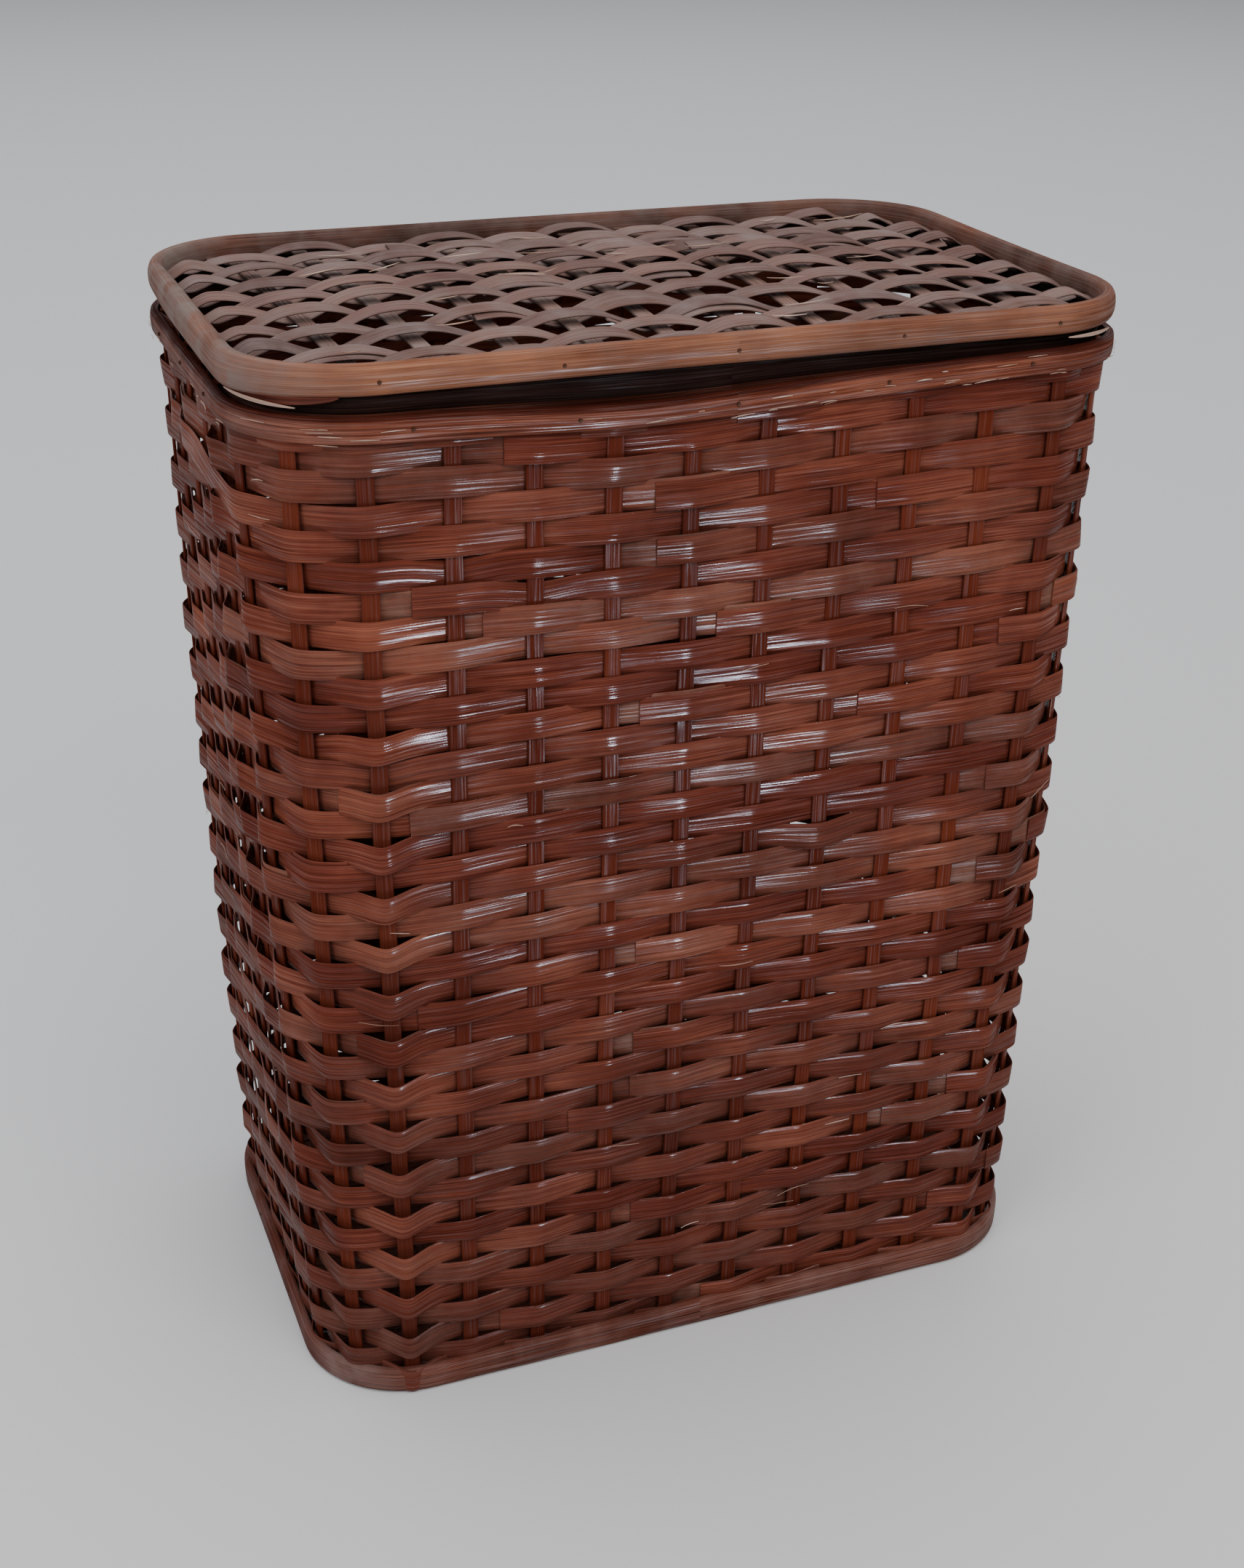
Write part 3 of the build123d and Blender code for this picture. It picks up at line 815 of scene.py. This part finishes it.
def lid_strip(strands, row, rows, shift=0.0, drop=0.0, first=-1.0, last=1.0):
    """One strip across the lid, or a part of one, springing up over every other stake."""
    half_x, half_y, radius = [size - RAIL for size in LID_SIZES]
    y = (row - (rows - 1) / 2) * LID_ROW_PITCH
    end = woven_reach(y + math.copysign(LID_STRIP / 2, y), half_y, half_x, radius) + 1 * MM
    x = np.linspace(first * end, last * end, max(int(120 * (last - first)), 8))
    place = x / STAKE_PITCH + (LID_STAKES - 1) / 2
    centre = 2 * np.round((place - row % 2) / 2) + row % 2
    apart = np.abs(place - centre)
    low = np.sin(math.pi / 2 * apart**1.3) ** 2
    springy = 1 + wander(place, 0.5)
    fade = smooth(end, end - 16 * MM, np.abs(x))
    height = (LID_CREST * springy - (LID_CREST * springy + LID_TROUGH) * low) * fade
    bow = wander(place, 2.4 * MM) + shift
    path = np.stack([x, y + bow, lid_level(x, y) + height - drop], axis=1)
    roll = wander(place * 2.3, 0.14, 4) + 0.06 + 0.06 * (1 - low)
    across = np.stack([0 * x, np.ones(len(x)), roll], axis=1)
    wide = LID_STRIP * (1 + wander(place, 0.08)) + chance.uniform(-2.2, 0.6) * MM
    # The high dust in this tint is partly dust and partly painted sheen.
    strands.add(path, across, FLAT_CANE, wide, 1.1 * MM, tint_of(0.14, 0.6))


def lid_weave():
    """Rows of springy strips. Some lie double where a new strip starts beside an old one."""
    rows = int(2 * (rail_high.y - RAIL) / LID_ROW_PITCH)
    strands = Strands()
    for row in range(rows):
        lid_strip(strands, row, rows)
        if chance.random() < 0.6:
            first = chance.uniform(-1.0, 0.3)
            shift = chance.choice([-4.5, 4.5]) * MM
            lid_strip(strands, row, rows, shift, 1.3 * MM, first, first + chance.uniform(0.4, 0.7))
    piece = strands.build("lid_strips", lid_cane, "lid", bend=lid_settle)
    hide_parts("lid_weave")


def lid_stakes():
    """The flat canes that the lid's strips are woven over."""
    half_x, half_y, radius = [size - RAIL for size in LID_SIZES]
    strands = Strands()
    for k in range(LID_STAKES):
        x = (k - (LID_STAKES - 1) / 2) * STAKE_PITCH
        end = woven_reach(abs(x) + STAKE_WIDE / 2, half_x, half_y, radius) + 1 * MM
        y = np.linspace(-end, end, 120)
        path = np.stack([x + 0 * y - 0.02 * y, y, lid_level(x, y) - 0.4 * MM], axis=1)
        # The high dust in this tint is partly dust and partly painted sheen.
        strands.add(path, LEFTWARD, FLAT_CANE, STAKE_WIDE, STAKE_THICK, tint_of(0.12, 0.6))
    piece = strands.build("lid_cross_canes", lid_stake_cane, "lid", bend=lid_settle)
    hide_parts("lid_stakes")


# ---------------------------------------------------------------- floor of the basket
def floor_weave():
    """The woven floor inside the foot."""
    z = (floor_low.z + floor_high.z) / 2
    half_x, half_y = floor_high.x, floor_high.y
    radius = CORNER[0] - INNER
    strands = Strands()
    rows = int(2 * half_y / ROW_PITCH)
    for row in range(rows):
        y = (row - (rows - 1) / 2) * ROW_PITCH
        end = woven_reach(y + math.copysign(STRIP / 2, y), half_y, half_x, radius)
        x = np.linspace(-end, end, 130)
        place = x / STAKE_PITCH + (FLOOR_STAKES - 1) / 2
        index = np.floor(place)
        over = np.where((index + row) % 2 == 0, 1.0, -1.0)
        path = np.stack([x, y + 0 * x, z + over * swing(place - index) * 1.3 * MM], axis=1)
        strands.add(path, BACKWARD, FLAT_CANE, STRIP, STRIP_THICK, tint_of(0.12, 0.4))
    for k in range(FLOOR_STAKES):
        x = (k - (FLOOR_STAKES - 1) / 2) * STAKE_PITCH
        end = woven_reach(abs(x) + STAKE_WIDE / 2, half_x, half_y, radius)
        y = np.linspace(-end, end, 30)
        path = np.stack([x + 0 * y, y, z + 0 * y], axis=1)
        strands.add(path, LEFTWARD, FLAT_CANE, STAKE_WIDE, 1.2 * MM, tint_of(0.12, 0.3))
    piece = strands.build("floor_strips", inner_cane, "basket")
    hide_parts("floor_panel")


# ---------------------------------------------------------------- wear
def frayed_fibres():
    """Pale fibres that have lifted along the rim and here and there on the weave."""
    strands = Strands()
    for k in range(FRAYED):
        on_rim = k < FRAYED_ON_RIM
        z = RIM_Z + chance.triangular(-7.0, -5.0, 4.0) * MM if on_rim else chance.uniform(0.04, 0.52)
        length = chance.uniform(3, 13) * MM if on_rim else chance.uniform(5, 22) * MM
        around = stake_places(z)[1]
        middle = chance.uniform(0, around)
        share = np.linspace(-0.5, 0.5, 9)
        lift = (chance.uniform(0.2, 0.8) + 1.5 * share**2) * MM
        inset = -lift if on_rim else WEAVE_MID - WAVE - 1.2 * MM - lift
        points = [on_outline(np.array([middle + length * s]), z, i) for s, i in zip(share, inset)]
        path = np.array([point[0][0] for point in points])
        normal = np.array([point[1][0] for point in points])
        stray = 0.4 if on_rim else 1.0
        path[:, 2] += stray * length * (chance.normal(0, 0.12) * share + chance.normal(0, 0.15) * share**2)
        up = UP + normal * 0.3
        wide = chance.uniform(0.2, 0.6) * MM * (1.15 - 2 * np.abs(share))
        strands.add(path, up, FLAT_CANE, wide, 0.22 * MM, tint_of())
    strands.build("frayed_fibres", pale_fibre, "basket", bend=wear_in)


def lid_slivers():
    """Bare slivers under the rail at the front corners."""
    strands = Strands()
    half_x, half_y, radius = LID_SIZES
    for side, low, high, inset, drop in SLIVERS:
        angle = np.radians(np.linspace(low, high, 16))
        reach = radius - inset * MM
        x = side * (half_x - radius + reach * np.sin(angle))
        y = -(half_y - radius + reach * np.cos(angle))
        z = rail_low.z - np.linspace(0.5 * drop, drop, 16) * MM
        path = np.stack([x, y, z], axis=1)
        wide = 1.9 * MM * np.sin(np.linspace(0.15, 3.0, 16)) ** 0.7
        strands.add(path, UP, FLAT_CANE, wide, 0.5 * MM, tint_of())
    strands.build("lid_slivers", pale_fibre, "lid", bend=lid_settle)


def lid_splinters():
    """Splinters that have lifted from the lid's strips."""
    strands = Strands()
    for _ in range(LID_SPLINTERS):
        x, y = chance.uniform(-0.19, 0.19), chance.uniform(-0.12, 0.12)
        length, turn = chance.uniform(8, 32) * MM, chance.normal(0.0, 0.35)
        share = np.linspace(-0.5, 0.5, 9)
        over = LID_CREST + (0.6 + 3.0 * share**2 * chance.uniform(0, 1)) * MM
        along_x = x + length * share * math.cos(turn)
        along_y = y + length * share * math.sin(turn)
        path = np.column_stack([along_x, along_y, lid_level(along_x, along_y) + over])
        across = np.array([-math.sin(turn), math.cos(turn), 0.2])
        wide = chance.uniform(0.4, 1.1) * MM * (1.15 - 2 * np.abs(share))
        strands.add(path, across, FLAT_CANE, wide, 0.3 * MM, tint_of())
    strands.build("lid_splinters", pale_fibre, "lid")


def rail_peel():
    """A skin of cane that has split from under the rail round the front left corner."""
    half_x, half_y, radius = LID_SIZES
    angle = np.radians(np.linspace(84.0, 20.0, 26))
    reach = radius - 2.2 * MM
    x = -(half_x - radius + reach * np.sin(angle))
    y = -(half_y - radius + reach * np.cos(angle))
    hang = np.sin(np.linspace(0.0, math.pi, 26)) ** 0.6
    path = np.stack([x, y, rail_low.z - 2.0 * MM * hang], axis=1)
    strands = Strands()
    # Its low tint and the darker, redder rim_cane finish are partly painted shade under the rail.
    strands.add(path, UP, FLAT_CANE, (1.0 + 3.6 * hang) * MM, 0.6 * MM, [0.3, 0.1, 0.2])
    strands.build("rail_peel", rim_cane, "lid", bend=lid_settle)


# ---------------------------------------------------------------- tacks
TACKS_APART = 12.0 * MM  # vertices closer than this belong to one tack
TACK_STEPS = np.array([-1.6, -0.5, -0.15, 0.0]) * MM  # from inside the cane to the head's face
TACK_SIZES = np.array([0.9, 0.95, 0.8, 0.35]) * 2 * MM  # the head's diameter at each step


def tack_heads(node, body, bend=None):
    """A small sunken head at each of a CAD node's tacks."""
    mesh_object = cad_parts[node]
    heads = []
    for vertex in mesh_object.data.vertices:
        point = np.array(mesh_object.matrix_world @ vertex.co)
        near = [head for head in heads if np.linalg.norm(head[0] - point) < TACKS_APART]
        if near:
            near[0].append(point)
        else:
            heads.append([point])
    strands = Strands()
    for head in heads:
        points = np.array(head)
        middle = (points.min(axis=0) + points.max(axis=0)) / 2
        side = 0 if abs(middle[0]) / rim_high.x > abs(middle[1]) / rim_high.y else 1
        out = np.zeros(3)
        out[side] = math.copysign(1.0, middle[side])
        face = middle.copy()
        face[side] = out[side] * np.abs(points[:, side]).max()
        path = face + out * TACK_STEPS[:, None]
        strands.add(path, UP, DISC, TACK_SIZES, TACK_SIZES, [0.5, 0.3, 0.5])
    piece = strands.build(node + "_heads", tack_steel, body, bend=bend)
    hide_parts(node)


# ---------------------------------------------------------------- carried-over CAD parts
def dress(node, material):
    """Gives a CAD node its finish."""
    mesh_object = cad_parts[node]
    for slot_of in mesh_object.material_slots:
        slot_of.material = material


# ---------------------------------------------------------------- camera, light and floor
def camera():
    """From the front and a little to the left and above."""
    azimuth, elevation, roll = math.radians(-20.985), math.radians(25.733), math.radians(0.553)
    target, distance = Vector((0.0014, -0.0005, 0.2815)), 1.2042
    level = math.cos(elevation)
    back = Vector((math.sin(azimuth) * level, -math.cos(azimuth) * level, math.sin(elevation)))
    right = Vector((math.cos(azimuth), math.sin(azimuth), 0.0))
    up = back.cross(right)
    tilted_right = right * math.cos(roll) + up * math.sin(roll)
    tilted_up = up * math.cos(roll) - right * math.sin(roll)
    data = bpy.data.cameras.new("camera")
    data.lens = 48.35
    data.sensor_width = 36.0
    view = bpy.data.objects.new("camera", data)
    turn = Matrix((tilted_right, tilted_up, back)).transposed()
    view.matrix_world = Matrix.Translation(target + back * distance) @ turn.to_4x4()
    bpy.context.scene.collection.objects.link(view)
    bpy.context.scene.camera = view


def lamp(name, place, aim, size, power, colour, glossy_only=False):
    """A rectangular lamp. One that is glossy_only makes highlights, and the others make none."""
    data = bpy.data.lights.new(name, "AREA")
    data.shape = "RECTANGLE"
    data.size, data.size_y = size
    data.energy = power
    data.color = colour
    light = bpy.data.objects.new(name, data)
    light.location = place
    light.rotation_euler = (Vector(aim) - Vector(place)).to_track_quat("-Z", "Y").to_euler()
    light.visible_camera = False
    light.visible_diffuse = not glossy_only
    light.visible_glossy = glossy_only
    bpy.context.scene.collection.objects.link(light)


def surroundings():
    """A plain pale floor, a pale sky and soft lamps."""
    world = bpy.data.worlds.new("studio")
    world.use_nodes = True
    sky = world.node_tree.nodes["Background"]
    sky.inputs["Color"].default_value = (0.95, 0.97, 1.0, 1.0)
    sky.inputs["Strength"].default_value = 0.3
    bpy.context.scene.world = world
    mesh = bpy.data.meshes.new("ground")
    reach = 14.0
    corners = [(-reach, -reach, 0), (reach, -reach, 0), (reach, reach, 0), (-reach, reach, 0)]
    mesh.from_pydata(corners, [], [(0, 1, 2, 3)])
    ground = bpy.data.objects.new("ground", mesh)
    ground.location.z = -0.3 * MM
    bpy.context.scene.collection.objects.link(ground)
    material, _, _, shader = node_material("ground")
    shader.inputs["Base Color"].default_value = (0.72, 0.72, 0.73, 1.0)
    shader.inputs["Roughness"].default_value = 0.9
    mesh.materials.append(material)
    ground.visible_glossy = False
    centre = (0.0, 0.0, 0.3)
    lamp("ceiling", (0.0, 2.0, 5.0), (0.0, 2.0, 0.0), (9.0, 9.0), 350.0, (0.97, 0.98, 1.0))
    lamp("window", (-1.8, -1.0, 1.3), centre, (1.2, 1.2), 15.0, (0.93, 0.96, 1.0))
    lamp("fill", (0.3, -1.5, 1.7), (0.0, 0.0, 0.45), (1.2, 0.8), 16.2, (1.0, 0.95, 0.9))
    lamp(
        "glint", (0.2, -0.85, 0.05), (0.04, -0.15, 0.33), (0.14, 0.07), 3.0, (0.75, 0.84, 1.0),
        glossy_only=True,
    )


camera()
surroundings()
wall_rows()
wall_stakes()
basket_bands()
lid_frame()
lid_weave()
lid_stakes()
floor_weave()
frayed_fibres()
lid_slivers()
lid_splinters()
rail_peel()
for node in ("basket_hinge_eyes", "lid_hinge_eyes", "hinge_pins"):
    dress(node, steel)
tack_heads("rim_tacks", "basket", wear_in)
tack_heads("foot_tacks", "basket")
tack_heads("lid_tacks", "lid", lid_settle)
dress("floor_cross_bars", inner_cane)
